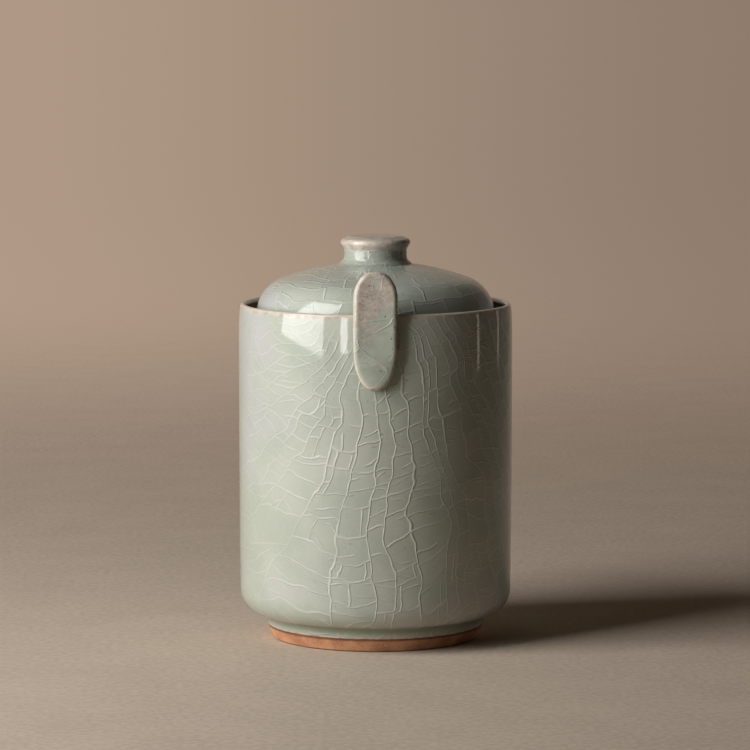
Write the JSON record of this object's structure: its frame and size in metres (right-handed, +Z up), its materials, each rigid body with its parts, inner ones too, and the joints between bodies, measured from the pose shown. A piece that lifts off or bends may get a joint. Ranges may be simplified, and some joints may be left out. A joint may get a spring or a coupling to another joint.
{
  "type": "tea caddy",
  "caption": "Straight-sided lidded ceramic jar with crackle glaze, recessed domed lid with disc knob, bare clay foot ring and a small tongue-shaped tab hooked over the lip.",
  "frame": {"origin": "centre of the footprint's bounding box on the table; the jar's axis stands 1.4 mm behind it, at y = 0.0014", "axes": "+Z up along the jar's axis; the tab is on the -Y side; X is across"},
  "size_m": [0.09, 0.0928, 0.1323],
  "materials": {
    "jar_glaze": "gloss",
    "foot_clay": "matte",
    "lid_glaze": "gloss",
    "knob_glaze": "gloss",
    "seal_silicone": "matte",
    "tab_glaze": "satin"
  },
  "bodies": {
    "jar": {"jar_body": "jar_glaze", "foot_ring": "foot_clay"},
    "seal": {"lid_seal": "seal_silicone"},
    "lid": {"lid_shell": "lid_glaze", "lid_knob": "knob_glaze"},
    "tab": {"front_tab": "tab_glaze"}
  },
  "joints": [
    {"name": "lid_lift", "type": "slide", "parent": "jar", "child": "seal", "axis": [0, 0, 1], "range_m": [0, 0.08]},
    {"name": "lid_turn", "type": "hinge", "parent": "seal", "child": "lid", "pos_m": [0, 0.0014, 0.1053], "axis": [0, 0, 1], "continuous": true},
    {"name": "tab_lift", "type": "slide", "parent": "jar", "child": "tab", "axis": [0, 0, 1], "range_m": [0, 0.06]}
  ]
}
